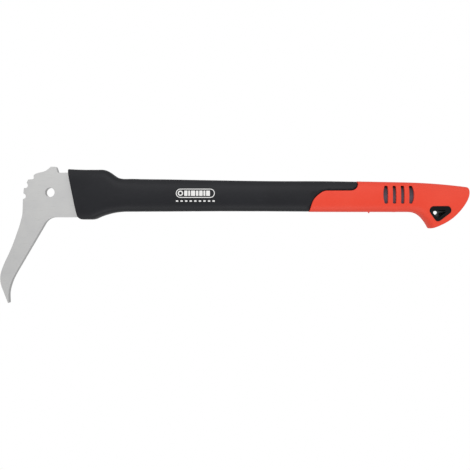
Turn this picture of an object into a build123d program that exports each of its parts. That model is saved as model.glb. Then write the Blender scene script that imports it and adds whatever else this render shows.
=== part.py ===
from build123d import *
import math
import os

# A hand sappie, laid on its side. X runs along the handle from the head to the butt, Y runs across it
# from the spike's point to the striking nub, and Z is the thickness. The origin is under the middle of
# the tool's box, on the surface that it lies on. Millimetres.

# Driving dimensions -------------------------------------------------------------------------------
half_thickness = 14.0                 # greatest half thickness, at the socket and at the palm
mid_z = half_thickness                # height of the tool's middle plane
plate_thickness = 6.0
hanging_hole_diameter = 10.0
hanging_hole_centre = (-196.8, 45.6)

plate_top_y = 66.7                    # upper and lower edges of the plate where it enters the socket
plate_bottom_y = 19.1
plate_root_x = -160.0                 # the wide part of the plate ends here, inside the socket
throat_radius = 13.0                  # inside corner between the spike and the plate
spike_tip = (-240.8, -75.0)

handle_axis_y = 41.2
tang_height = 20.0
tang_end_x = -88.0
tang_end_radius = 5.0
tang_root_radius = 3.0
core_height = 22.0
core_thickness = 15.0
core_corner_radius = 6.0
core_front_x = -153.0
core_rear_x = 186.0
bond_gap = 0.5                        # epoxy on each side of the tang
rivet_diameter = 5.0
rivet_head_diameter = 8.0
rivet_head_height = 1.6
rivet_positions_x = (-144.0, -124.0, -104.0)
washer_diameter = 11.0
washer_thickness = 1.0

socket_top_y = 69.45
socket_bottom_y = 16.7
shaft_top_y = 60.1
shaft_bottom_y = 25.05
shaft_half_thickness = 12.0
shoulder_x = (-138.9, -119.3)         # the upper edge steps down to the shaft between these
run_out_x = (-150.0, -116.0)          # and the keel runs out to the shaft between these
shaft_droop = 2.45                    # the shaft's upper edge sinks by this much
shaft_droop_x = (-135.0, 65.0)        # between these
waist_lift = 0.45                     # the shaft's lower edge rises by this much at its slimmest point
waist_reach = 120.0                   # and the rise dies out this far to each side
grip_slope = 0.0195                   # steady fall of the grip's upper edge
grip_slope_start_x = 100.0
butt_fall = 3.95                      # extra fall of the upper edge over the butt's length
butt_start_x = 180.0
butt_length = 70.0
mouth_flare = 0.75                    # the socket's upper edge lifts by this much at the mouth
mouth_flare_start_x = -156.0
mouth_flare_length = 21.0
mouth_taper = 2.5                     # the socket's cheeks thin by this much towards the mouth
mouth_taper_x = (-148.0, -182.0)
cheek_crown = 0.35                    # the socket's crown above its two flat cheeks
socket_exponent = 4.2                 # how square the rounded section is
shaft_exponent = 2.7
grip_exponent = 2.9
exponent_blend_x = (-145.0, -100.0)   # the section turns from square to round between these
socket_blend_x = (-142.0, -95.0)      # and the cheeks thin down to the shaft between these
mouth_upper = (-176.5, 72.0)          # upper and lower ends of the socket's slanted mouth
mouth_lower = (-164.7, 16.3)
keel_corner_radius = 5.0

grip_wall = 2.5                       # thickness of the soft overmould
grip_proud = 0.3                      # the overmould stands this much above the black shaft
grip_lip_radius = 0.6
grip_front_x = 79.8                   # front edge of the overmould, below its sweep up to the tongue
grip_front_y = 20.0                   # the sweep starts here
grip_sweep = ((81.1, 28.5), (84.7, 38.0), (91.6, 44.4))
grip_sweep_out = ((-1.0, 0.0), (-0.9, 0.4), (-0.5, 1.0))
grip_sweep_end_x = 100.0
tongue_low_y = 46.8                   # lower edge of the black tongue along the top
tongue_end_x = 131.2
tongue_corner_radius = 8.0
palm_start_x = 70.0                   # the grip thickens from here
palm_x = 165.0                        # to here, where it is thickest
butt_taper = 1.2                      # and thins by this much to the butt
butt_end_x = 250.5
butt_rim_radius = 2.0
butt_corner_radius = 2.4
butt_corner_lift = 0.9                # the sharp upper corner's height above the upper edge
butt_cap_length = 4.2                 # and the short level run before it
butt_cap_rise = 0.4
butt_back = ((244.4, 32.6), (232.0, 18.6))
butt_back_out = ((0.87, -0.5), (0.66, -0.75))
heel_start_x = 186.0                  # the lower edge starts to fall here
heel_length = 24.0
heel_depth = 18.0                     # fall over that length
heel_power = 2.65
heel_fade = 5.0                       # length over which the fall levels off, inside the butt's back
heel_point = (209.5, 6.3)             # the lowest point of the butt's curved back
heel_slope = 0.42
groove_width = 0.8                    # shadow groove round the grip's front edge
groove_depth = 0.7

slot_top_y = 51.9
slot_bottom_y = 33.0
slots_x = ((158.7, 162.1), (167.1, 170.7), (175.7, 179.3), (184.3, 187.7))
slot_bow = 1.7                        # how far the outer two slots bow outwards
slot_corner_radius = 1.2
eyelet_proud = 0.3
eyelet_lip_radius = 0.8
eye_corners_outer = (((210.2, 25.9), 4.5), ((224.3, 26.1), 4.4), ((214.8, 18.4), 4.0))
eye_corners_inner = (((211.4, 23.6), 1.8), ((221.0, 24.6), 1.7), ((214.7, 19.6), 1.5))


# Shape of the handle ------------------------------------------------------------------------------
def smooth_step(x, start, end):
    """Goes from 0 at start to 1 at end with level ends."""
    t = min(max((x - start) / (end - start), 0.0), 1.0)
    return t * t * (3.0 - 2.0 * t)


def ease_out(x, start, end):
    """Goes from 0 at start to 1 at end, quick at first and level at the end."""
    t = min(max((x - start) / (end - start), 0.0), 1.0)
    return 1.0 - (1.0 - t) ** 2


def handle_top(x):
    """Upper edge of the handle: the socket and its shoulder, a slow droop and the fall to the butt."""
    flare = mouth_flare * (max(mouth_flare_start_x - x, 0.0) / mouth_flare_length) ** 1.5
    shoulder = (socket_top_y - shaft_top_y) * smooth_step(x, *shoulder_x)
    droop = shaft_droop * smooth_step(x, *shaft_droop_x)
    fall = grip_slope * max(x - grip_slope_start_x, 0.0)
    fall += butt_fall * (max(x - butt_start_x, 0.0) / butt_length) ** 2
    return socket_top_y + flare - shoulder - droop - fall


def handle_bottom(x):
    """Lower edge of the handle: the socket's keel, its run-out and the slightly waisted shaft."""
    run_out = (shaft_bottom_y - socket_bottom_y) * ease_out(x, *run_out_x)
    waist = waist_lift * (1.0 - smooth_step(abs(x), 0.0, waist_reach))
    return socket_bottom_y + run_out + waist


def handle_half_thickness(x):
    """Half thickness: full at the socket, slimmer along the shaft, full again in the palm."""
    socket = (half_thickness + cheek_crown - shaft_half_thickness) * (1.0 - smooth_step(x, *socket_blend_x))
    mouth = mouth_taper * smooth_step(x, *mouth_taper_x)
    palm = (half_thickness - shaft_half_thickness - grip_proud) * smooth_step(x, palm_start_x, palm_x)
    butt = butt_taper * smooth_step(x, butt_start_x, butt_end_x)
    return shaft_half_thickness + socket - mouth + palm - butt


def section(x, bottom, top, half, exponent):
    """A rounded section across the handle at x, between two Y values."""
    point_count = 24
    half_height = (top - bottom) / 2.0
    plane = Plane(origin=(x, (top + bottom) / 2.0, mid_z), x_dir=(0, 1, 0), z_dir=(1, 0, 0))
    points = []
    for i in range(point_count):
        angle = 2.0 * math.pi * i / point_count
        across = math.copysign(abs(math.cos(angle)) ** (2.0 / exponent), math.cos(angle))
        out = math.copysign(abs(math.sin(angle)) ** (2.0 / exponent), math.sin(angle))
        points.append(plane.from_local_coords(Vector(half_height * across, half * out, 0)))
    return make_face(Spline(*points, periodic=True))


def shaft_body(inset):
    """The black handle's outer shape from before the mouth to past the tongue, taken in by inset."""
    stations = [-208, -202, -196, -190, -184, -178, -172, -166, -160, -154]
    stations += [-149, -144, -139, -134, -129, -124, -119, -112, -100, -80]
    stations += [-50, -15, 20, 55, 90, 115, 140, 165, 190]
    sections = []
    for x in stations:
        exponent = socket_exponent + (shaft_exponent - socket_exponent) * smooth_step(x, *exponent_blend_x)
        bottom = handle_bottom(x) + inset
        top = handle_top(x) - inset
        sections.append(section(x, bottom, top, handle_half_thickness(x) - inset, exponent))
    return loft(sections)


def heel_drop(x):
    """How far the grip's lower edge falls towards the heel, levelling off beyond the heel's point."""
    t = max((x - heel_start_x) / heel_length, 0.0)
    if t <= 1.0:
        return heel_depth * t**heel_power
    slope = heel_depth * heel_power / heel_length
    return heel_depth + slope * heel_fade * (1.0 - math.exp(-heel_length * (t - 1.0) / heel_fade))


def grip_body(inset):
    """The grip's outer shape with its heel, taken in by inset; it runs on for the butt's outline to cut."""
    front_stations = [20, 40, 60, 80, 100, 120, 135, 148, 159, 170]
    rear_stations = [170, 175, 180, 185, 189, 193, 197, 200, 203, 206, 209, 212, 215, 219]
    rear_stations += [224, 231, 240, 251, 264, 280]
    halves = []
    for stations in (front_stations, rear_stations):
        sections = []
        for x in stations:
            bottom = handle_bottom(x) - heel_drop(x - 0.8 * inset) - grip_proud + inset
            top = handle_top(x) + grip_proud - inset
            half = handle_half_thickness(x) + grip_proud - inset
            sections.append(section(x, bottom, top, half, grip_exponent))
        halves.append(loft(sections))
    return halves[0] + halves[1]


def butt_outline(inset):
    """Plan outline that cuts the butt: past the upper edge, round the back and out under the heel."""
    upper_corner = (butt_end_x - inset, handle_top(butt_end_x) + butt_corner_lift - inset)
    shoulder = (upper_corner[0] - butt_cap_length, upper_corner[1] + butt_cap_rise)
    heel = (heel_point[0] + heel_slope * inset, heel_point[1] + inset)
    back = []
    for point, out in zip(butt_back, butt_back_out):
        back.append((point[0] - out[0] * inset, point[1] - out[1] * inset))
    run_out = 30.0
    below = (heel[0] - run_out, heel[1] - heel_slope * run_out)
    with BuildSketch() as sketch:
        with BuildLine():
            Polyline(below, (60, below[1]), (60, 80), (shoulder[0], 80), shoulder, upper_corner)
            Spline(upper_corner, *back, heel, tangents=[(0, -1), (-1, -heel_slope)])
            Line(heel, below)
        make_face()
        corner = (upper_corner[0], upper_corner[1], 0)
        fillet(sketch.vertices().sort_by_distance(corner)[0], butt_corner_radius)
    return extrude(sketch.sketch, 2 * half_thickness + 10).moved(Location((0, 0, -5)))


def grip_region(growth):
    """Everything behind the grip's front edge, below and behind the black tongue, moved out by growth."""
    start = (grip_front_x - growth, grip_front_y)
    end = (grip_sweep_end_x, tongue_low_y + growth)
    corner = (tongue_end_x - growth, tongue_low_y + growth)
    sweep = []
    for point, out in zip(grip_sweep, grip_sweep_out):
        sweep.append((point[0] + out[0] * growth, point[1] + out[1] * growth))
    with BuildSketch() as sketch:
        with BuildLine():
            Polyline(end, corner, (corner[0], 90), (270, 90), (270, -20), (start[0], -20), start)
            Spline(start, *sweep, end, tangents=[(0, 1), (1, 0)])
        make_face()
        fillet(sketch.vertices().sort_by_distance((*corner, 0))[0], tongue_corner_radius - growth)
    return extrude(sketch.sketch, 2 * half_thickness + 10).moved(Location((0, 0, -5)))


# Steel head ---------------------------------------------------------------------------------------
def make_hook_head():
    """The plate: nub, three bites, spike, throat, hanging hole, and the tang inside the socket."""
    tooth_a = (-214.4, 63.7)
    notch_ab = (-213.7, 59.9)
    tooth_b_top = (-220.1, 59.3)
    tooth_b_low = (-221.7, 55.5)
    tooth_c_top = (-224.6, 50.6)
    tooth_c_low = (-225.2, 44.3)
    brow = (-225.6, 38.7)
    neck = (-226.0, 26.0)
    spike_start = (-231.9, 2.7)
    spike_end = (-244.6, -28.0)
    belly = (-250.0, -45.0)
    point_start = (-247.6, -57.5)
    spike_middle = (-237.6, -12.9)
    inner_end = (-232.2, -38.3)
    throat = (-198.5, plate_bottom_y)
    nub_foot = (-188.2, plate_top_y)
    nub_right = (-190.4, 73.0)
    nub_left = (-195.8, 73.0)
    tang_top = handle_axis_y + tang_height / 2.0
    tang_bottom = handle_axis_y - tang_height / 2.0
    with BuildSketch(Plane.XY.offset(mid_z - plate_thickness / 2.0)) as sketch:
        with BuildLine():
            Polyline((plate_root_x, tang_top), (plate_root_x, plate_top_y), nub_foot, nub_right, nub_left)
            Spline(nub_left, (-200.6, 69.1), (-205.6, 67.3), tooth_a, tangents=[(-1, -0.8), (-1, -1)])
            Polyline(tooth_a, notch_ab, tooth_b_top, tooth_b_low)
            ThreePointArc(tooth_b_low, (-220.4, 52.8), tooth_c_top)
            Line(tooth_c_top, tooth_c_low)
            ThreePointArc(tooth_c_low, (-222.6, 41.4), brow)
            Line(brow, neck)
            Spline(neck, (-227.6, 16.2), spike_start, tangents=[(0, -1), (-0.383, -0.924)])
            ThreePointArc(spike_start, spike_middle, spike_end)
            Spline(spike_end, belly, point_start, tangents=[(-0.383, -0.924), (0.43, -1)])
            Line(point_start, spike_tip)
            Spline(spike_tip, (-241.0, -62.0), (-238.4, -51.0), inner_end, tangents=[(0, 1), (0.502, 0.865)])
            Line(inner_end, throat)
            Polyline(throat, (plate_root_x, plate_bottom_y), (plate_root_x, tang_bottom))
            Polyline((plate_root_x, tang_bottom), (tang_end_x, tang_bottom), (tang_end_x, tang_top),
                     (plate_root_x, tang_top))
        make_face()
        rounds = [(throat, throat_radius), (nub_foot, 0.6), (nub_right, 1.0), (nub_left, 2.0)]
        rounds += [(tooth_a, 0.5), (notch_ab, 1.6), (tooth_b_top, 0.6), (tooth_b_low, 0.6)]
        rounds += [(tooth_c_top, 0.8), (tooth_c_low, 0.7), (brow, 0.5), (spike_tip, 0.5)]
        rounds += [((tang_end_x, y), tang_end_radius) for y in (tang_bottom, tang_top)]
        rounds += [((plate_root_x, y), tang_root_radius) for y in (tang_bottom, tang_top)]
        for corner, radius in rounds:
            corner_3d = (*corner, mid_z - plate_thickness / 2.0)
            fillet(sketch.vertices().sort_by_distance(corner_3d)[0], radius)
        with Locations(hanging_hole_centre):
            Circle(hanging_hole_diameter / 2.0, mode=Mode.SUBTRACT)
        with Locations(*[(x, handle_axis_y) for x in rivet_positions_x]):
            Circle(rivet_diameter / 2.0, mode=Mode.SUBTRACT)
    return extrude(sketch.sketch, plate_thickness)


# Inside the handle --------------------------------------------------------------------------------
def make_core_blank():
    """The oval rod before its slot and holes."""
    plane = Plane(origin=(core_front_x, handle_axis_y, mid_z), x_dir=(0, 1, 0), z_dir=(1, 0, 0))
    return extrude(plane * RectangleRounded(core_height, core_thickness, core_corner_radius),
                   core_rear_x - core_front_x)


def make_slot_blank():
    """The saw cut in the rod's front end that takes the tang and its epoxy."""
    length = tang_end_x + bond_gap - core_front_x
    centre = (core_front_x + length / 2.0, handle_axis_y, mid_z)
    return Pos(*centre) * Box(length, core_height, plate_thickness + 2 * bond_gap)


def make_rivets():
    """Three rivets with a flat head at each end."""
    rivets = []
    shank_length = core_thickness + 2 * washer_thickness
    for x in rivet_positions_x:
        shank = Pos(x, handle_axis_y, mid_z) * Cylinder(rivet_diameter / 2.0, shank_length)
        for side in (-1, 1):
            head_z = mid_z + side * (shank_length + rivet_head_height) / 2.0
            shank += Pos(x, handle_axis_y, head_z) * Cylinder(rivet_head_diameter / 2.0, rivet_head_height)
        rivets.append(shank)
    return rivets


def make_washers():
    """A washer under each rivet head, flat on the rod's cheek."""
    ring = Cylinder(washer_diameter / 2.0, washer_thickness)
    ring -= Cylinder(rivet_diameter / 2.0, washer_thickness)
    offset_z = (core_thickness + washer_thickness) / 2.0
    washers = []
    for x in rivet_positions_x:
        for side in (-1, 1):
            washers.append(Pos(x, handle_axis_y, mid_z + side * offset_z) * ring)
    return washers


# Lanyard eye and slots ----------------------------------------------------------------------------
def make_eye_prism(corners, low, high):
    """A rounded triangle round three corner circles, as a straight prism between two heights."""
    with BuildSketch() as sketch:
        for centre, radius in corners:
            with Locations(centre):
                Circle(radius)
        make_hull()
    return extrude(sketch.sketch, high - low).moved(Location((0, 0, low)))


def make_eyelet():
    """The liner: a tube through the butt, standing a little proud on both faces, with rounded lips."""
    widest_x = eye_corners_outer[-1][0][0]
    half = handle_half_thickness(widest_x) + grip_proud + eyelet_proud
    tube = make_eye_prism(eye_corners_outer, mid_z - half, mid_z + half)
    tube -= make_eye_prism(eye_corners_inner, -1.0, 2 * mid_z + 1.0)
    lips = [edge for edge in tube.edges() if abs(abs(edge.center().Z - mid_z) - half) < 0.01]
    return fillet(lips, eyelet_lip_radius)


def add_side(start, middle, end):
    """One long side of a slot: an arc where it bows, otherwise straight."""
    if middle[0] == start[0]:
        return Line(start, end)
    return ThreePointArc(start, middle, end)


def make_slot_prisms():
    """Four slots through the soft grip: the outer two bow outwards, the inner two are straight."""
    middle_y = (slot_top_y + slot_bottom_y) / 2.0
    slots = []
    for left, right in slots_x:
        left_x = left - slot_bow if left == slots_x[0][0] else left
        right_x = right + slot_bow if right == slots_x[-1][1] else right
        with BuildSketch() as sketch:
            with BuildLine():
                Line((left, slot_top_y), (right, slot_top_y))
                add_side((right, slot_top_y), (right_x, middle_y), (right, slot_bottom_y))
                Line((right, slot_bottom_y), (left, slot_bottom_y))
                add_side((left, slot_bottom_y), (left_x, middle_y), (left, slot_top_y))
            make_face()
            fillet(sketch.vertices(), slot_corner_radius)
        slots.append(extrude(sketch.sketch, 2 * mid_z + 2).moved(Location((0, 0, -1))))
    return slots


# Mouldings ----------------------------------------------------------------------------------------
def mouth_cutter():
    """Everything in front of the socket's slanted mouth, with the round at its lower corner."""
    with BuildSketch() as sketch:
        with BuildLine():
            Polyline(mouth_upper, mouth_lower, (-140, mouth_lower[1]), (-140, 0), (-230, 0), (-230, 90),
                     (mouth_upper[0], 90), mouth_upper)
        make_face()
        corner = (mouth_lower[0], mouth_lower[1], 0)
        fillet(sketch.vertices().sort_by_distance(corner)[0], keel_corner_radius)
    return extrude(sketch.sketch, 2 * mid_z + 2).moved(Location((0, 0, -1)))


def make_mouldings(inside_parts, eyelet_hole):
    """The black jacket and the red sleeve, cut around each other and around what they hold."""
    flats = Pos(0, handle_axis_y, mid_z) * Box(2 * butt_end_x, 100, 2 * half_thickness)
    outer = (shaft_body(0.0) & flats) - mouth_cutter()
    front = (outer - grip_region(groove_width)) + (shaft_body(groove_depth) - mouth_cutter() - grip_region(0.0))
    substrate = grip_body(grip_wall) & butt_outline(grip_wall)
    jacket = front + substrate
    grip = grip_body(0.0) & butt_outline(0.0)
    rim = [edge for edge in grip.edges() if edge.center().X > 200 and edge.length > 10]
    grip = fillet(rim, butt_rim_radius)
    grip &= grip_region(0.0)
    lip = [edge for edge in grip.edges() if edge.center().X < tongue_end_x + 4.0]
    grip = fillet(lip, grip_lip_radius)
    sleeve = grip - substrate
    for slot in make_slot_prisms():
        sleeve -= slot
    jacket -= eyelet_hole
    sleeve -= eyelet_hole
    for solid in inside_parts:
        jacket -= solid
    return jacket, sleeve


def save(name, solids):
    """Writes one node's solids to its own file."""
    shape = solids[0] if len(solids) == 1 else Compound(children=list(solids))
    shape.label = name
    export_step(shape, f"parts/{name}.step")


def main():
    os.makedirs("parts", exist_ok=True)
    hook_head = make_hook_head()
    slot_blank = make_slot_blank()
    core_blank = make_core_blank()
    rivets = make_rivets()
    washers = make_washers()
    core_rod = core_blank - slot_blank
    tang_bond = (core_blank & slot_blank) - hook_head
    for rivet in rivets:
        core_rod -= rivet
        tang_bond -= rivet
    eyelet = make_eyelet()
    eyelet_hole = make_eye_prism(eye_corners_outer, -1.0, 2 * mid_z + 1.0)
    jacket, sleeve = make_mouldings([core_blank, hook_head, *rivets, *washers], eyelet_hole)
    save("hook_head", [hook_head])
    save("core_rod", [core_rod])
    save("tang_bond", [tang_bond])
    save("tang_rivets", rivets)
    save("rivet_washers", washers)
    save("handle_jacket", [jacket])
    save("grip_sleeve", [sleeve])
    save("lanyard_eyelet", [eyelet])


main()
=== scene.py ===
"""Looks of a hand sappie (log hook) that lies on its side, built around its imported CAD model.

X runs along the handle from the steel head to the butt, Y across it towards the striking nub, and Z through
its thickness. Sizes in the classes are in millimetres, and mm() turns them to Blender's metres.
"""

import logging
import math
from dataclasses import dataclass
from enum import Enum
from typing import Callable, Iterable

import bmesh
import bpy
from mathutils import Matrix, Vector
from mathutils.bvhtree import BVHTree


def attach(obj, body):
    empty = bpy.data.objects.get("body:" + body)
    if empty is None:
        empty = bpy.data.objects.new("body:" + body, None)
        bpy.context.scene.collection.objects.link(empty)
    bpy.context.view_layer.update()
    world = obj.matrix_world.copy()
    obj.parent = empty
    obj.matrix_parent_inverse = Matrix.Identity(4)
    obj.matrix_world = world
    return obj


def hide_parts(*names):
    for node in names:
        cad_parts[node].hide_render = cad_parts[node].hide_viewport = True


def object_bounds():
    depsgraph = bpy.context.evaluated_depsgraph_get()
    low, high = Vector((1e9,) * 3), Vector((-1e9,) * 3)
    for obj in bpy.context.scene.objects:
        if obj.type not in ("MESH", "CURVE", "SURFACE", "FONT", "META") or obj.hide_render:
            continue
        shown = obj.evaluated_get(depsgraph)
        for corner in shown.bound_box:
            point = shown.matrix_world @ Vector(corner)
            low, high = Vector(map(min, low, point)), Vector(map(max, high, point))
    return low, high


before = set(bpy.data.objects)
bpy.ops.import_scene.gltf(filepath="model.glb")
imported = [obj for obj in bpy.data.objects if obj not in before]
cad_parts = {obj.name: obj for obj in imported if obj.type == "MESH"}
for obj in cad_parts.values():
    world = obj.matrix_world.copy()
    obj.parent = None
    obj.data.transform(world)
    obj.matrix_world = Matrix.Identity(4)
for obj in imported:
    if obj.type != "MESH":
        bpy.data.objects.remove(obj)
CAD_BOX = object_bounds()
LOG = logging.getLogger("sappie")
# Numbers of the colour sockets on a mix node, whose names repeat for each data type.
MIX_FACTOR, MIX_FIRST, MIX_SECOND, MIX_RESULT = 0, 6, 7, 2
# Part of the noise's range over which the base colours blend, and over which scuffs appear.
DRIFT_RANGE = (0.35, 0.7)
SCUFF_RANGE = (0.6, 0.78)
# How much a full scuff adds to the roughness.
SCUFF_ROUGHENING = 0.12
# Corners closer than this many millimetres are one corner.
MERGE_DISTANCE = 0.001
# Edges that turn by more than this many degrees count as sharp.
SHARP_ANGLE = 50.0


# Small tools --------------------------------------------------------------------------------------
def mm(value: float) -> float:
    """Turns millimetres to metres."""
    return value / 1000.0


def linear(colour: str) -> tuple[float, float, float, float]:
    """Turns an sRGB hex colour to the linear values that a shader takes.

    Args:
        colour: Six hex digits, such as "C2C2C4".

    Returns:
        Red, green, blue and an alpha of 1.
    """
    channels = [int(colour[i : i + 2], 16) / 255.0 for i in (0, 2, 4)]
    turned = [c / 12.92 if c <= 0.04045 else ((c + 0.055) / 1.055) ** 2.4 for c in channels]
    return turned[0], turned[1], turned[2], 1.0


def add_node(
    tree: bpy.types.NodeTree, kind: str, settings: dict | None = None, inputs: dict | None = None
) -> bpy.types.Node:
    """Adds one node with its settings, its values and its links.

    Args:
        tree: The material's node tree.
        kind: The node's type, such as "ShaderNodeTexNoise".
        settings: Names and values of the node's own options.
        inputs: Names or numbers of input sockets, each with a value or with the output socket that feeds it.

    Returns:
        The new node.
    """
    node = tree.nodes.new(kind)
    for name, value in (settings or {}).items():
        setattr(node, name, value)
    for name, value in (inputs or {}).items():
        if isinstance(value, bpy.types.NodeSocket):
            tree.links.new(value, node.inputs[name])
        else:
            node.inputs[name].default_value = value
    return node


def fill_ramp(node: bpy.types.Node, stops: Iterable[tuple[float, tuple[float, float, float, float]]]) -> None:
    """Gives a colour ramp its stops.

    Args:
        node: A ShaderNodeValToRGB.
        stops: Positions and linear colours, in order.
    """
    elements = node.color_ramp.elements
    stops = list(stops)
    while len(elements) < len(stops):
        elements.new(0.5)
    for element, (position, colour) in zip(elements, stops):
        element.position = position
        element.color = colour


def grey(value: float) -> tuple[float, float, float, float]:
    """A neutral ramp stop."""
    return value, value, value, 1.0


class Slot(Enum):
    """Material slots of the record, listed beside the inner parts' finishes; no piece is given one here."""

    PLATE = "plate_steel"
    RIVET = "rivet_steel"
    ROD = "fibreglass"
    BOND = "epoxy"
    HANDLE = "black_nylon"
    GRIP = "red_elastomer"
    EYELET = "eyelet_nylon"


# Finishes -----------------------------------------------------------------------------------------
@dataclass(frozen=True)
class Finish:
    """A surface finish: two drifting base colours, light scuffs, a grain in the roughness and a fine bump.

    Attributes:
        name: The finish's common name.
        colour: Base colour in sRGB hex.
        drift: The colour that large soft patches lean towards.
        drift_size: Size of those patches in millimetres.
        worn: The colour that scuffs show.
        wear: How strongly the scuffs show, from 0 to 1.
        grain_size: Size of the fine surface grain in millimetres.
        roughness: Mean roughness.
        roughness_spread: How far the grain takes the roughness up and down.
        bump_height: Height of the grain in millimetres.
        metallic: 1 for a bare metal, 0 for the rest.
        ior: Index of refraction, left at the shader's default on a metal.
        specular: Strength of the surface reflection, where 0.5 is a clean surface.
        scuff_size: Length and width of a scuff in millimetres.
    """

    name: str
    colour: str
    drift: str
    drift_size: float
    worn: str
    wear: float
    grain_size: float
    roughness: float
    roughness_spread: float
    bump_height: float
    metallic: float = 0.0
    ior: float = 1.5
    specular: float = 0.5
    scuff_size: tuple[float, float] = (9.0, 1.1)

    def material(self) -> bpy.types.Material:
        """Builds the material.

        Returns:
            A node material that reads Object coordinates.
        """
        made = bpy.data.materials.new(self.name)
        made.use_nodes = True
        tree = made.node_tree
        tree.nodes.clear()
        place = add_node(tree, "ShaderNodeTexCoord").outputs["Object"]
        scuffs = self.scuffs_output(tree, place)
        grain = self.noise_output(tree, place, self.grain_size)
        colour = add_node(
            tree,
            "ShaderNodeMix",
            settings={"data_type": "RGBA"},
            inputs={
                MIX_FACTOR: scuffs,
                MIX_FIRST: self.colour_output(tree, place),
                MIX_SECOND: linear(self.worn),
            },
        ).outputs[MIX_RESULT]
        rough = add_node(
            tree,
            "ShaderNodeMapRange",
            inputs={
                "Value": grain,
                "To Min": self.roughness - self.roughness_spread,
                "To Max": self.roughness + self.roughness_spread,
            },
        ).outputs["Result"]
        worn_rough = add_node(
            tree,
            "ShaderNodeMath",
            settings={"operation": "MULTIPLY_ADD"},
            inputs={0: scuffs, 1: SCUFF_ROUGHENING, 2: rough},
        ).outputs["Value"]
        bump = add_node(
            tree,
            "ShaderNodeBump",
            inputs={"Height": grain, "Strength": 1.0, "Distance": mm(self.bump_height)},
        ).outputs["Normal"]
        shader = add_node(
            tree,
            "ShaderNodeBsdfPrincipled",
            inputs={
                "Base Color": colour,
                "Roughness": worn_rough,
                "Normal": bump,
                "Metallic": self.metallic,
                "Specular IOR Level": self.specular,
            },
        )
        if not self.metallic:
            shader.inputs["IOR"].default_value = self.ior
        add_node(tree, "ShaderNodeOutputMaterial", inputs={"Surface": shader.outputs["BSDF"]})
        made.diffuse_color = linear(self.colour)
        return made

    def colour_output(self, tree: bpy.types.NodeTree, place: bpy.types.NodeSocket) -> bpy.types.NodeSocket:
        """Soft patches between the two base colours.

        Args:
            tree: The material's node tree.
            place: The coordinate to read.

        Returns:
            The colour socket.
        """
        patches = self.noise_output(tree, place, self.drift_size)
        ramp = add_node(tree, "ShaderNodeValToRGB", inputs={"Fac": patches})
        fill_ramp(ramp, zip(DRIFT_RANGE, (linear(self.colour), linear(self.drift))))
        return ramp.outputs["Color"]

    def noise_output(
        self, tree: bpy.types.NodeTree, place: bpy.types.NodeSocket, size: float
    ) -> bpy.types.NodeSocket:
        """An even noise from 0 to 1.

        Args:
            tree: The material's node tree.
            place: The coordinate to read.
            size: Size of its features in millimetres.

        Returns:
            The noise's value socket.
        """
        return add_node(
            tree,
            "ShaderNodeTexNoise",
            inputs={"Vector": place, "Scale": 1.0 / mm(size), "Detail": 4.0, "Roughness": 0.6},
        ).outputs["Fac"]

    def scuffs_output(self, tree: bpy.types.NodeTree, place: bpy.types.NodeSocket) -> bpy.types.NodeSocket:
        """Short rubs along the tool where it is handled and laid down.

        Args:
            tree: The material's node tree.
            place: The coordinate to read.

        Returns:
            The scuffs' value socket, from 0 to the finish's wear.
        """
        length, width = self.scuff_size
        stretched = add_node(
            tree,
            "ShaderNodeMapping",
            inputs={"Vector": place, "Scale": (1.0 / mm(length), 1.0 / mm(width), 1.0 / mm(width))},
        ).outputs["Vector"]
        streaks = add_node(
            tree, "ShaderNodeTexNoise", inputs={"Vector": stretched, "Scale": 1.0, "Detail": 2.0}
        ).outputs["Fac"]
        start, end = SCUFF_RANGE
        return add_node(
            tree,
            "ShaderNodeMapRange",
            inputs={"Value": streaks, "From Min": start, "From Max": end, "To Max": self.wear},
        ).outputs["Result"]


@dataclass(frozen=True)
class HandleNylon(Finish):
    """The handle's nylon, with painted light and shade on the floors of the grip's slots: lighter at their
    lower ends, darker towards their upper rims.

    Attributes:
        painted_floor_light: Colour of the painted light on the slots' lower floors, in sRGB hex.
        painted_light_start: The slots, and the painted light and shade on their floors, lie behind this place
            along the tool, in millimetres.
        painted_light_fade: The painted light fades into the dark nylon between these places across the tool,
            in millimetres.
    """

    # Painted light and shade: the slot floors get a lighter colour at their lower ends, which fades into the
    # dark nylon towards their upper rims where the rims would shade them.
    painted_floor_light: str = "5A545F"
    painted_light_start: float = 150.0
    painted_light_fade: tuple[float, float] = (40.0, 53.0)

    def colour_output(self, tree: bpy.types.NodeTree, place: bpy.types.NodeSocket) -> bpy.types.NodeSocket:
        """Soft dark patches, and painted light and shade on the slot floors: lighter towards their lower
        ends, darker towards their upper rims.

        Args:
            tree: The material's node tree.
            place: The coordinate to read.

        Returns:
            The colour socket.
        """
        dark = super().colour_output(tree, place)
        parts = add_node(tree, "ShaderNodeSeparateXYZ", inputs={"Vector": place}).outputs
        # Painted light and shade on the slot floors: lighter at their lower ends, fading to the dark nylon
        # towards their upper rims.
        behind = add_node(
            tree,
            "ShaderNodeMath",
            settings={"operation": "GREATER_THAN"},
            inputs={0: parts["X"], 1: mm(self.painted_light_start)},
        ).outputs["Value"]
        start, end = self.painted_light_fade
        amount = add_node(
            tree,
            "ShaderNodeMapRange",
            inputs={
                "Value": parts["Y"],
                "From Min": mm(start),
                "From Max": mm(end),
                "To Min": behind,
                "To Max": 0.0,
            },
        ).outputs["Result"]
        return add_node(
            tree,
            "ShaderNodeMix",
            settings={"data_type": "RGBA"},
            inputs={MIX_FACTOR: amount, MIX_FIRST: dark, MIX_SECOND: linear(self.painted_floor_light)},
        ).outputs[MIX_RESULT]


# Carbon steel plate, blasted and clear coated: an even, dull light grey with no grain direction.
BLASTED_STEEL = Finish(
    name="blasted_carbon_steel",
    colour="D6D6D5",
    drift="D1D1D1",
    drift_size=18.0,
    worn="C6C6C5",
    wear=0.5,
    grain_size=0.5,
    roughness=0.5,
    roughness_spread=0.05,
    bump_height=0.008,
    metallic=1.0,
)
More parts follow.
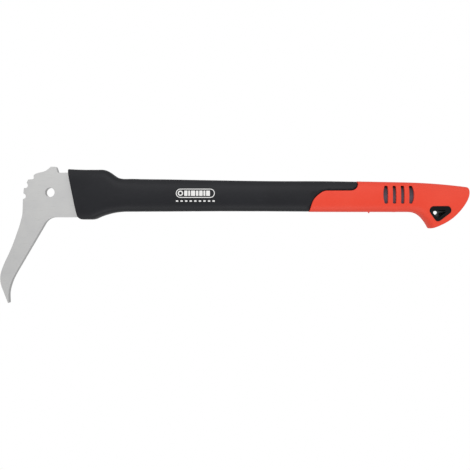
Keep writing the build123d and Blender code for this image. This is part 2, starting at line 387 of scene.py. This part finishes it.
# Glass-filled nylon from a spark-eroded mould: near black, slightly cool, with a soft broad highlight.
MOULDED_NYLON = HandleNylon(
    name="glass_filled_nylon",
    colour="14151A",
    drift="191A1F",
    drift_size=30.0,
    worn="242428",
    wear=0.5,
    grain_size=0.7,
    roughness=0.5,
    roughness_spread=0.05,
    bump_height=0.02,
    ior=1.4,
    specular=0.42,
)
# Thermoplastic elastomer, moulded satin: a warm orange red, a little duller where it is handled.
SOFT_ELASTOMER = Finish(
    name="thermoplastic_elastomer",
    colour="EC4026",
    drift="EE462D",
    drift_size=35.0,
    worn="E24E37",
    wear=0.35,
    grain_size=0.6,
    roughness=0.5,
    roughness_spread=0.05,
    bump_height=0.015,
    ior=1.45,
)
# Moulded nylon liner: a very dark rim that swallows the light inside the eye.
LINER_NYLON = Finish(
    name="moulded_nylon",
    colour="08080A",
    drift="0C0C0F",
    drift_size=12.0,
    worn="18181B",
    wear=0.4,
    grain_size=0.8,
    roughness=0.45,
    roughness_spread=0.05,
    bump_height=0.008,
    ior=1.53,
    specular=0.15,
)
# Zinc-plated steel: bright with a faint blue cast.
ZINC_PLATE = Finish(
    name="zinc_plated_steel",
    colour="BFC3C8",
    drift="B2B8BE",
    drift_size=4.0,
    worn="A6A9AC",
    wear=0.5,
    grain_size=0.3,
    roughness=0.34,
    roughness_spread=0.08,
    bump_height=0.006,
    metallic=1.0,
    scuff_size=(2.0, 0.4),
)
# Pultruded glass fibre in polyester: straw coloured, with fibres that run along the rod.
PULTRUDED_ROD = Finish(
    name="pultruded_fibreglass",
    colour="CFC49A",
    drift="BFB184",
    drift_size=8.0,
    worn="E4DCBC",
    wear=0.6,
    grain_size=0.4,
    roughness=0.4,
    roughness_spread=0.08,
    bump_height=0.02,
    ior=1.55,
    scuff_size=(30.0, 0.35),
)
# Cast epoxy: amber and glossy, with paler streaks where it was stirred.
CAST_EPOXY = Finish(
    name="cast_epoxy",
    colour="8C7442",
    drift="7C6638",
    drift_size=6.0,
    worn="A08A5A",
    wear=0.4,
    grain_size=0.8,
    roughness=0.2,
    roughness_spread=0.05,
    bump_height=0.01,
    ior=1.55,
)
# Pad-printed ink: a chalky white film, thin in places.
PRINTING_INK = Finish(
    name="pad_printing_ink",
    colour="F2F2F0",
    drift="E9E9E7",
    drift_size=6.0,
    worn="CFCFCE",
    wear=0.5,
    grain_size=0.4,
    roughness=0.5,
    roughness_spread=0.08,
    bump_height=0.006,
    scuff_size=(2.0, 0.4),
)


# Meshes -------------------------------------------------------------------------------------------
def dress(piece: bpy.types.Object, finish: Finish) -> None:
    """Gives a piece its material, built from the finish.

    Args:
        piece: The mesh object.
        finish: The finish to build.
    """
    piece.data.materials.clear()
    piece.data.materials.append(finish.material())


def merged_copy(node: str) -> bmesh.types.BMesh:
    """Copies a CAD node's triangles and joins them at their shared corners.

    Args:
        node: The CAD node's name.

    Returns:
        A bmesh with the node's closed surface.
    """
    shape = bmesh.new()
    shape.from_mesh(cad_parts[node].data)
    bmesh.ops.remove_doubles(shape, verts=shape.verts, dist=mm(MERGE_DISTANCE))
    return shape


def finish_mesh(shape: bmesh.types.BMesh, name: str, smooth_angle: float) -> bpy.types.Object:
    """Turns a bmesh to an object that rides on the tool, smooth except at its sharp edges.

    Args:
        shape: The finished bmesh, which is freed.
        name: The piece's name.
        smooth_angle: Edges sharper than this many degrees stay crisp.

    Returns:
        The new object.
    """
    data = bpy.data.meshes.new(name)
    shape.to_mesh(data)
    shape.free()
    data.shade_smooth()
    data.set_sharp_from_angle(angle=math.radians(smooth_angle))
    piece = bpy.data.objects.new(name, data)
    bpy.context.scene.collection.objects.link(piece)
    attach(piece, "root")
    return piece


def middle_height() -> float:
    """Height of the tool's middle plane in metres."""
    low, high = CAD_BOX
    return (low[2] + high[2]) / 2.0


def edge_middle(edge: bmesh.types.BMEdge) -> Vector:
    """The point halfway along an edge."""
    return (edge.verts[0].co + edge.verts[1].co) / 2.0


def sharp_edges(shape: bmesh.types.BMesh, wanted: Callable[[Vector], bool]) -> list[bmesh.types.BMEdge]:
    """Sharp edges whose middle is wanted.

    Args:
        shape: The bmesh to look through.
        wanted: A test on the edge's middle point.

    Returns:
        The edges found.
    """
    limit = math.radians(SHARP_ANGLE)
    found = []
    for edge in shape.edges:
        if len(edge.link_faces) == 2 and edge.calc_face_angle(0.0) > limit and wanted(edge_middle(edge)):
            found.append(edge)
    return found


def round_edges(
    shape: bmesh.types.BMesh, edges: list[bmesh.types.BMEdge], width: float, segments: int
) -> None:
    """Rounds edges with a bevel.

    Args:
        shape: The bmesh.
        edges: The edges to round.
        width: Bevel width in millimetres.
        segments: Steps across the round.
    """
    bmesh.ops.bevel(
        shape,
        geom=edges,
        offset=mm(width),
        offset_type="OFFSET",
        affect="EDGES",
        segments=segments,
        profile=0.5,
        material=-1,
        clamp_overlap=True,
    )


@dataclass
class HookHead:
    """The steel plate with its spike, bites, nub and hanging hole.

    Attributes:
        edge_break: Width of the broken edge round both faces, in millimetres.
        flat_angle: Triangles that turn by less than this many degrees lie in one flat face.
        face_normal: A face whose normal has at least this Z belongs to the plate's two flat sides.
    """

    edge_break: float = 0.3
    flat_angle: float = 0.4
    face_normal: float = 0.999

    def build(self) -> bpy.types.Object:
        """Builds the plate with its edges broken, so that they catch the light.

        Returns:
            The plate.
        """
        shape = merged_copy("hook_head")
        bmesh.ops.dissolve_limit(
            shape, angle_limit=math.radians(self.flat_angle), verts=shape.verts, edges=shape.edges
        )
        round_edges(shape, sharp_edges(shape, lambda point: True), self.edge_break, 2)
        piece = finish_mesh(shape, "hook_plate", SHARP_ANGLE)
        for polygon in piece.data.polygons:
            polygon.use_smooth = abs(polygon.normal.z) < self.face_normal
        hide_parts("hook_head")
        dress(piece, BLASTED_STEEL)
        return piece


@dataclass
class HandleJacket:
    """The black moulding: socket, shaft, tongue and the part under the grip.

    Attributes:
        smooth_angle: Edges sharper than this many degrees stay crisp.
    """

    smooth_angle: float = 32.0

    def build(self) -> bpy.types.Object:
        """Builds the jacket.

        Returns:
            The jacket.
        """
        piece = finish_mesh(merged_copy("handle_jacket"), "handle_shell", self.smooth_angle)
        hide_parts("handle_jacket")
        dress(piece, MOULDED_NYLON)
        return piece


@dataclass
class GripSleeve:
    """The red soft overmould with its slots, heel and butt.

    Attributes:
        smooth_angle: Edges sharper than this many degrees stay crisp.
        slot_span: Start and end of the slots along the tool, in millimetres.
        slot_reach: Start and end of the slots across the tool, in millimetres.
        slot_round: Radius that softens the slots' rims.
        skin_normal: A face whose normal has at least this Z lies on the grip's outer skin.
    """

    smooth_angle: float = 32.0
    slot_span: tuple[float, float] = (155.0, 191.0)
    slot_reach: tuple[float, float] = (30.0, 55.0)
    slot_round: float = 0.35
    skin_normal: float = 0.7

    def build(self) -> bpy.types.Object:
        """Builds the grip.

        Returns:
            The grip.
        """
        shape = merged_copy("grip_sleeve")
        round_edges(shape, self.slot_rims(shape), self.slot_round, 2)
        piece = finish_mesh(shape, "soft_grip", self.smooth_angle)
        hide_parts("grip_sleeve")
        dress(piece, SOFT_ELASTOMER)
        return piece

    def slot_rims(self, shape: bmesh.types.BMesh) -> list[bmesh.types.BMEdge]:
        """Finds the outer rims of the slots on both faces.

        Args:
            shape: The grip's bmesh.

        Returns:
            The rims' edges.
        """
        start, end = (mm(value) for value in self.slot_span)
        low, high = (mm(value) for value in self.slot_reach)
        rims = []
        for edge in sharp_edges(shape, lambda point: start < point.x < end and low < point.y < high):
            side = edge_middle(edge).z - middle_height()
            normals = [face.normal.z for face in edge.link_faces]
            if max(map(abs, normals)) > self.skin_normal and any(normal * side > 0.0 for normal in normals):
                rims.append(edge)
        return rims


@dataclass
class GateNib:
    """The small cut-off stub that the moulding's gate leaves under the grip.

    Attributes:
        place: Where it stands along the tool and across it, in millimetres.
        foot_radius: Radius at its foot.
        top_radius: Radius where it was cut.
        height: Its height, of which a part is sunk in the grip.
        cut_round: Radius of the cut end's rim.
    """

    place: tuple[float, float] = (144.9, 24.6)
    foot_radius: float = 1.1
    top_radius: float = 0.6
    height: float = 2.2
    cut_round: float = 0.15

    def build(self) -> bpy.types.Object:
        """Turns the stub and rounds its cut end.

        Returns:
            The nib.
        """
        middle = Vector((mm(self.place[0]), mm(self.place[1]), middle_height()))
        downwards = Matrix.Translation(middle) @ Matrix.Rotation(math.radians(90.0), 4, "X")
        shape = bmesh.new()
        bmesh.ops.create_cone(
            shape,
            cap_ends=True,
            segments=24,
            radius1=mm(self.foot_radius),
            radius2=mm(self.top_radius),
            depth=mm(self.height),
            matrix=downwards,
        )
        round_edges(shape, sharp_edges(shape, lambda point: point.y < middle.y), self.cut_round, 3)
        piece = finish_mesh(shape, "gate_nib", SHARP_ANGLE)
        dress(piece, SOFT_ELASTOMER)
        return piece


@dataclass
class LanyardEyelet:
    """The black liner through the butt.

    Attributes:
        smooth_angle: Edges sharper than this many degrees stay crisp.
    """

    smooth_angle: float = 32.0

    def build(self) -> bpy.types.Object:
        """Builds the liner.

        Returns:
            The liner.
        """
        piece = finish_mesh(merged_copy("lanyard_eyelet"), "eyelet_liner", self.smooth_angle)
        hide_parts("lanyard_eyelet")
        dress(piece, LINER_NYLON)
        return piece


@dataclass
class PrintedMark:
    """White pad print on the shaft: a plain round-ended frame with a ring and bars, over a row of dashes.

    Attributes:
        centre: Middle of the frame in plan.
        frame_size: Length and height of the frame.
        frame_line: Width of the frame's line.
        bar_height: Height of the bars inside the frame.
        bar_widths: Widths of the bars from left to right.
        bar_gap: Space between the bars.
        ring_radius: Outer radius of the ring at the frame's left end.
        dash_size: Length and height of a dash in the lower row.
        dash_count: Number of dashes.
        row_drop: Distance from the frame's middle down to the row of dashes.
        corner: Corner radius of the bars.
        dash_corner: Corner radius of the dashes.
        ring_space: Space between the ring and the first bar.
        film: Thickness of the ink above the shaft.
        tile: Size of the tiles that follow the shaft's curve.
    """

    centre: tuple[float, float] = (-40.6, 44.0)
    frame_size: tuple[float, float] = (41.0, 9.6)
    frame_line: float = 0.8
    bar_height: float = 5.6
    bar_widths: tuple[float, ...] = (3.4, 2.0, 4.4, 2.6, 3.6, 2.0, 4.0)
    bar_gap: float = 0.85
    ring_radius: float = 2.8
    dash_size: tuple[float, float] = (2.5, 1.5)
    dash_count: int = 9
    row_drop: float = 8.2
    corner: float = 0.5
    dash_corner: float = 0.4
    ring_space: float = 1.2
    film: float = 0.04
    tile: float = 1.0

    def build(self) -> bpy.types.Object:
        """Draws the mark flat, lays it on the shaft and gives it a thickness.

        Returns:
            The ink film.
        """
        shape = bmesh.new()
        self.add_frame(shape)
        self.add_ring(shape)
        self.add_bars(shape)
        self.add_dashes(shape)
        self.wrap(shape)
        bmesh.ops.recalc_face_normals(shape, faces=shape.faces)
        piece = finish_mesh(shape, "printed_mark", 40.0)
        dress(piece, PRINTING_INK)
        return piece

    def add_plate(
        self, shape: bmesh.types.BMesh, middle: tuple[float, float], size: tuple[float, float], corner: float
    ) -> list[bmesh.types.BMFace]:
        """Adds a flat rectangle with round corners.

        Args:
            shape: The bmesh to add to.
            middle: Its middle in plan.
            size: Its length and height.
            corner: Corner radius.

        Returns:
            Its face in a list.
        """
        place = Matrix.Translation((mm(middle[0]), mm(middle[1]), 0.0))
        spread = Matrix.Diagonal((mm(size[0]) / 2.0, mm(size[1]) / 2.0, 1.0, 1.0))
        made = bmesh.ops.create_grid(shape, x_segments=1, y_segments=1, size=1.0, matrix=place @ spread)
        verts = made["verts"]
        rounded = bmesh.ops.bevel(
            shape,
            geom=verts,
            offset=mm(corner),
            offset_type="OFFSET",
            affect="VERTICES",
            segments=8,
            profile=0.5,
            material=-1,
        )
        return list({face for vert in rounded["verts"] for face in vert.link_faces})

    def add_frame(self, shape: bmesh.types.BMesh) -> None:
        """Adds the round-ended frame."""
        faces = self.add_plate(shape, self.centre, self.frame_size, self.frame_size[1] / 2.0 - 0.05)
        self.hollow(shape, faces, self.frame_line)

    def add_ring(self, shape: bmesh.types.BMesh) -> None:
        """Adds the ring at the frame's left end."""
        left = self.centre[0] - self.frame_size[0] / 2.0 + self.frame_size[1] / 2.0
        side = 2.0 * self.ring_radius
        faces = self.add_plate(shape, (left, self.centre[1]), (side, side), self.ring_radius - 0.02)
        self.hollow(shape, faces, self.ring_radius * 0.45)

    def hollow(self, shape: bmesh.types.BMesh, faces: list[bmesh.types.BMFace], line: float) -> None:
        """Keeps only a line along the border of a flat shape.

        Args:
            shape: The flat drawing.
            faces: The shape's faces.
            line: Width of the line in millimetres.
        """
        bmesh.ops.inset_region(
            shape, faces=faces, thickness=mm(line), use_boundary=True, use_even_offset=False
        )
        bmesh.ops.delete(shape, geom=faces, context="FACES")

    def add_bars(self, shape: bmesh.types.BMesh) -> None:
        """Adds the bars to the right of the ring."""
        left = self.centre[0] - self.frame_size[0] / 2.0 + self.frame_size[1] / 2.0
        left += self.ring_radius + self.ring_space
        for width in self.bar_widths:
            middle = (left + width / 2.0, self.centre[1])
            self.add_plate(shape, middle, (width, self.bar_height), self.corner)
            left += width + self.bar_gap

    def add_dashes(self, shape: bmesh.types.BMesh) -> None:
        """Adds the lower row of dashes."""
        pitch = (self.frame_size[0] - self.dash_size[0]) / (self.dash_count - 1)
        left = self.centre[0] - self.frame_size[0] / 2.0 + self.dash_size[0] / 2.0
        for index in range(self.dash_count):
            place = (left + index * pitch, self.centre[1] - self.row_drop)
            self.add_plate(shape, place, self.dash_size, self.dash_corner)

    def wrap(self, shape: bmesh.types.BMesh) -> None:
        """Cuts the flat drawing into small tiles, lays it on the shaft and makes it a thin solid.

        Args:
            shape: The flat drawing.
        """
        left = self.centre[0] - self.frame_size[0] / 2.0
        low = self.centre[1] - self.row_drop - self.dash_size[1]
        high = self.centre[1] + self.frame_size[1] / 2.0
        self.cut(shape, Vector((1.0, 0.0, 0.0)), left, left + self.frame_size[0])
        self.cut(shape, Vector((0.0, 1.0, 0.0)), low, high)
        target = merged_copy("handle_jacket")
        tree = BVHTree.FromBMesh(target)
        for vert in shape.verts:
            hit = tree.ray_cast(Vector((vert.co.x, vert.co.y, 1.0)), Vector((0.0, 0.0, -1.0)))[0]
            vert.co.z = hit.z - mm(self.film)
        target.free()
        raised = bmesh.ops.extrude_face_region(shape, geom=shape.faces[:])["geom"]
        verts = [item for item in raised if isinstance(item, bmesh.types.BMVert)]
        bmesh.ops.translate(shape, verts=verts, vec=(0.0, 0.0, mm(2.0 * self.film)))

    def cut(self, shape: bmesh.types.BMesh, across: Vector, start: float, end: float) -> None:
        """Cuts the flat drawing at even steps.

        Args:
            shape: The flat drawing.
            across: The direction of the steps.
            start: Where they start, in millimetres.
            end: Where they end.
        """
        for step in range(1, math.ceil((end - start) / self.tile)):
            everything = shape.verts[:] + shape.edges[:] + shape.faces[:]
            place = across * mm(start + step * self.tile)
            bmesh.ops.bisect_plane(shape, geom=everything, plane_co=place, plane_no=across)


@dataclass
class InnerParts:
    """The rod, the epoxy and the fasteners inside the handle, which keep their CAD shapes."""

    def build(self) -> list[bpy.types.Object]:
        """Dresses the CAD nodes.

        Returns:
            The dressed nodes.
        """
        finishes = {
            "core_rod": (PULTRUDED_ROD, Slot.ROD),
            "tang_bond": (CAST_EPOXY, Slot.BOND),
            "tang_rivets": (ZINC_PLATE, Slot.RIVET),
            "rivet_washers": (ZINC_PLATE, Slot.RIVET),
        }
        for node, (finish, slot) in finishes.items():
            dress(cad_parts[node], finish)
        return [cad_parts[node] for node in finishes]


# Studio -------------------------------------------------------------------------------------------
@dataclass(frozen=True)
class Softbox:
    """A square softbox that points at the tool.

    Attributes:
        name: The light's name.
        place: Its place in metres.
        size: Its side in metres.
        power: Its power in watts.
    """

    name: str
    place: tuple[float, float, float]
    size: float
    power: float

    def build(self) -> None:
        """Hangs the softbox."""
        lamp = bpy.data.lights.new(self.name, "AREA")
        lamp.shape = "SQUARE"
        lamp.size = self.size
        lamp.energy = self.power
        holder = bpy.data.objects.new(self.name, lamp)
        holder.location = self.place
        holder.rotation_euler = (-Vector(self.place)).to_track_quat("-Z", "Y").to_euler()
        bpy.context.scene.collection.objects.link(holder)


@dataclass
class Studio:
    """Pale floor, soft light and the camera over the tool.

    Attributes:
        camera_height: Camera above the tool's middle plane, in millimetres.
        camera_x: Camera's place along the tool, in millimetres.
        view_width: Width that the camera sees at the middle plane, in millimetres.
        panel_bounce: Strength of the lit panel in reflections.
        side_light: Strength of the room's light near the horizon.
        ceiling_light: Strength of the room's light overhead.
        ceiling_start: Height in the room, from 0 to 1, from which it dims towards the ceiling's strength.
        softboxes: The softboxes round the tool.
    """

    camera_height: float = 600.0
    camera_x: float = 1.2
    view_width: float = 505.1
    panel_bounce: float = 0.5
    side_light: float = 1.0
    ceiling_light: float = 0.55
    ceiling_start: float = 0.3
    softboxes: tuple[Softbox, ...] = (
        Softbox("high_softbox", (0.0, 0.75, 1.2), 1.0, 5.0),
        Softbox("low_softbox", (0.1, -1.4, 0.6), 0.8, 3.0),
    )

    def build(self) -> None:
        """Builds the floor, the lights and the camera."""
        self.build_floor()
        self.build_world()
        for softbox in self.softboxes:
            softbox.build()
        self.build_camera()

    def build_floor(self) -> None:
        """Lays a lit panel under the tool: pure white to the camera, softer in what the tool mirrors."""
        shape = bmesh.new()
        bmesh.ops.create_grid(shape, x_segments=1, y_segments=1, size=4.0)
        data = bpy.data.meshes.new("floor")
        shape.to_mesh(data)
        shape.free()
        floor = bpy.data.objects.new("floor", data)
        bpy.context.scene.collection.objects.link(floor)
        panel = bpy.data.materials.new("lit_opal_acrylic")
        panel.use_nodes = True
        tree = panel.node_tree
        tree.nodes.clear()
        seen = add_node(tree, "ShaderNodeLightPath").outputs["Is Camera Ray"]
        strength = add_node(
            tree, "ShaderNodeMapRange", inputs={"Value": seen, "To Min": self.panel_bounce, "To Max": 1.0}
        ).outputs["Result"]
        glow = add_node(tree, "ShaderNodeEmission", inputs={"Color": linear("FFFFFF"), "Strength": strength})
        add_node(tree, "ShaderNodeOutputMaterial", inputs={"Surface": glow.outputs["Emission"]})
        data.materials.append(panel)

    def build_world(self) -> None:
        """Fills the room with white light that is dimmer overhead than at the sides."""
        world = bpy.data.worlds.new("soft_room")
        world.use_nodes = True
        tree = world.node_tree
        tree.nodes.clear()
        direction = add_node(tree, "ShaderNodeTexCoord").outputs["Generated"]
        height = add_node(tree, "ShaderNodeSeparateXYZ", inputs={"Vector": direction}).outputs["Z"]
        strength = add_node(
            tree,
            "ShaderNodeMapRange",
            inputs={
                "Value": height,
                "From Min": self.ceiling_start,
                "To Min": self.side_light,
                "To Max": self.ceiling_light,
            },
        ).outputs["Result"]
        glow = add_node(tree, "ShaderNodeBackground", inputs={"Color": grey(1.0), "Strength": strength})
        add_node(tree, "ShaderNodeOutputWorld", inputs={"Surface": glow.outputs["Background"]})
        bpy.context.scene.world = world

    def build_camera(self) -> None:
        """Hangs the camera over the tool, looking straight down."""
        camera = bpy.data.cameras.new("camera")
        camera.sensor_width = 36.0
        camera.lens = camera.sensor_width * self.camera_height / self.view_width
        camera.clip_start = 0.01
        holder = bpy.data.objects.new("camera", camera)
        holder.location = (mm(self.camera_x), 0.0, middle_height() + mm(self.camera_height))
        bpy.context.scene.collection.objects.link(holder)
        bpy.context.scene.camera = holder
        bpy.context.scene.view_settings.view_transform = "Standard"


def main() -> None:
    """Builds every piece in order, then the studio."""
    logging.basicConfig(level=logging.INFO, format="%(name)s: %(message)s")
    makers = (
        HookHead(), HandleJacket(), GripSleeve(), GateNib(), LanyardEyelet(), PrintedMark(), InnerParts(),
    )
    for maker in makers:
        made = maker.build()
        for piece in made if isinstance(made, list) else [made]:
            LOG.info("%s: %d faces", piece.name, len(piece.data.polygons))
    Studio().build()


if __name__ == "__main__":
    main()
